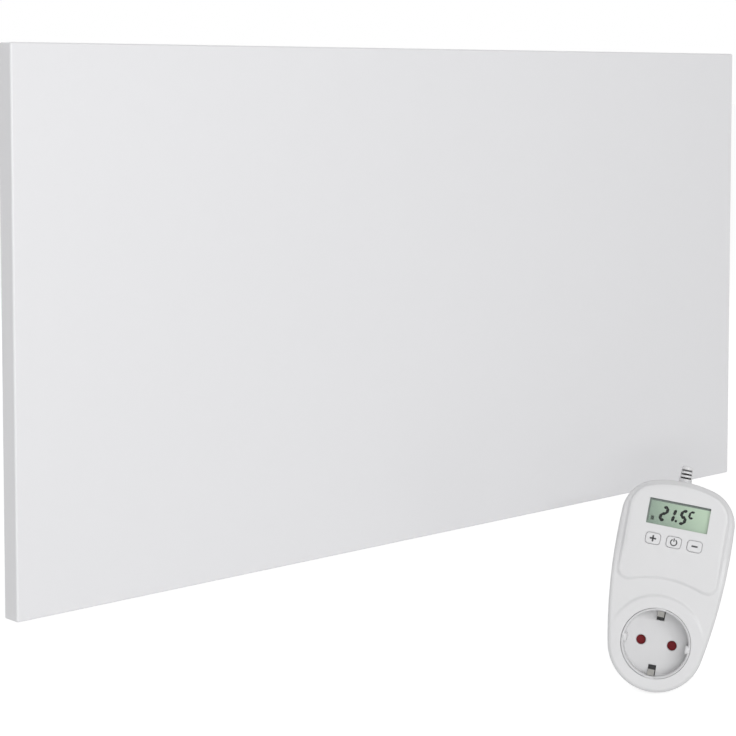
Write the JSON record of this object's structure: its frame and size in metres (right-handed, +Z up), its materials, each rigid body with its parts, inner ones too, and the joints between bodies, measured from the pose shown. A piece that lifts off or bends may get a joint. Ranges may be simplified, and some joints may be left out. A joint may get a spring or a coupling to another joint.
{
  "type": "infrared panel heater",
  "caption": "Flat white infrared heating panel for the wall, with hanging rails and junction box behind it, and a separate plug-in room thermostat with a display, keys and an earthed socket.",
  "frame": {"origin": "middle of the four wall keyholes, on the plane where the hanging rails meet the wall", "axes": "+X along the panel, to the right seen from the room; +Y into the wall; +Z up"},
  "size_m": [0.6, 0.1744, 0.3896],
  "materials": {
    "aluminium": "plain aluminium",
    "black_plastic": "moulded black polyamide",
    "blue_pvc": "blue lead insulation",
    "brass": "plain brass",
    "brown_pvc": "brown lead insulation",
    "can_sleeve": "dark printed sleeve",
    "carbon": "printed carbon ink",
    "circuit_board": "green solder mask",
    "clear_plastic": "clear moulded window",
    "copper": "tinned copper strip",
    "cutout": "phenolic snap disc",
    "display_glass": "liquid crystal display",
    "film": "amber polyester film",
    "foil": "bright reflector foil",
    "green_yellow_pvc": "green and yellow lead insulation",
    "grey_zinc": "bare zinc-coated sheet",
    "ivory_plastic": "ivory moulding",
    "mat": "mineral wool mat",
    "nickel": "nickel plating",
    "red_plastic": "dark red moulding",
    "seal_rubber": "soft rubber",
    "sensor_epoxy": "dark epoxy bead",
    "spring_steel": "drawn spring wire",
    "white_enamel": "white powder coat, satin",
    "white_plastic": "white moulding, fine satin",
    "zinc": "bright zinc plating"
  },
  "bodies": {
    "panel": {"blind_rivets": "aluminium", "board_link": "black_plastic", "busbars": "copper", "carbon_strips": "carbon", "contact_sleeves": "brass", "control_board": "circuit_board", "cover_screws": "zinc", "display_connector": "seal_rubber", "display_glass": "display_glass", "display_holder": "white_plastic", "display_window": "clear_plastic", "earth_lead": "green_yellow_pvc", "earth_nut": "zinc", "earth_stud": "zinc", "film_overlay": "film", "filter_capacitor": "ivory_plastic", "front_cover": "white_plastic", "front_panel": "white_enamel", "gland_body": "black_plastic", "gland_cap": "black_plastic", "gland_locknut": "black_plastic", "gland_seal": "seal_rubber", "hanging_rail_left": "grey_zinc", "hanging_rail_right": "grey_zinc", "heating_film": "film", "housing_screws": "zinc", "insulation_mat": "mat", "junction_box": "black_plastic", "junction_box_lid": "black_plastic", "lid_gasket": "seal_rubber", "lid_screws": "zinc", "link_leads": "brown_pvc", "live_lead": "brown_pvc", "neutral_lead": "blue_pvc", "plug_earth_contacts": "nickel", "plug_pins": "nickel", "power_board": "circuit_board", "rear_cover": "grey_zinc", "rear_housing": "white_plastic", "reflector_foil": "foil", "relay": "black_plastic", "room_sensor": "sensor_epoxy", "sensor_hood": "white_plastic", "shutter_retainer": "white_plastic", "shutter_spring": "spring_steel", "smoothing_capacitor": "can_sleeve", "socket_earth_strap": "nickel", "socket_floor": "white_plastic", "socket_well": "white_plastic", "tact_switches": "black_plastic", "terminal_block": "ivory_plastic", "terminal_screws": "zinc", "thermal_cutouts": "cutout", "wire_grommet": "seal_rubber"},
    "button_plus": {"button_plus": "white_plastic"},
    "button_power": {"button_power": "white_plastic"},
    "button_minus": {"button_minus": "white_plastic"},
    "shutter": {"shutter": "red_plastic"}
  },
  "joints": [
    {"name": "button_plus_press", "type": "slide", "parent": "panel", "child": "button_plus", "axis": [0.7743, 0.5888, -0.2321], "range_m": [0, 0.0006], "stiffness_N_per_m": 400},
    {"name": "button_power_press", "type": "slide", "parent": "panel", "child": "button_power", "axis": [0.7743, 0.5888, -0.2321], "range_m": [0, 0.0006], "stiffness_N_per_m": 400},
    {"name": "button_minus_press", "type": "slide", "parent": "panel", "child": "button_minus", "axis": [0.7743, 0.5888, -0.2321], "range_m": [0, 0.0006], "stiffness_N_per_m": 400},
    {"name": "shutter_turn", "type": "hinge", "parent": "panel", "child": "shutter", "pos_m": [0.09198, -0.13646, -0.21315], "axis": [-0.7743, -0.5888, 0.2321], "range_deg": [0, 46], "stiffness_Nm_per_rad": 0.0015}
  ]
}
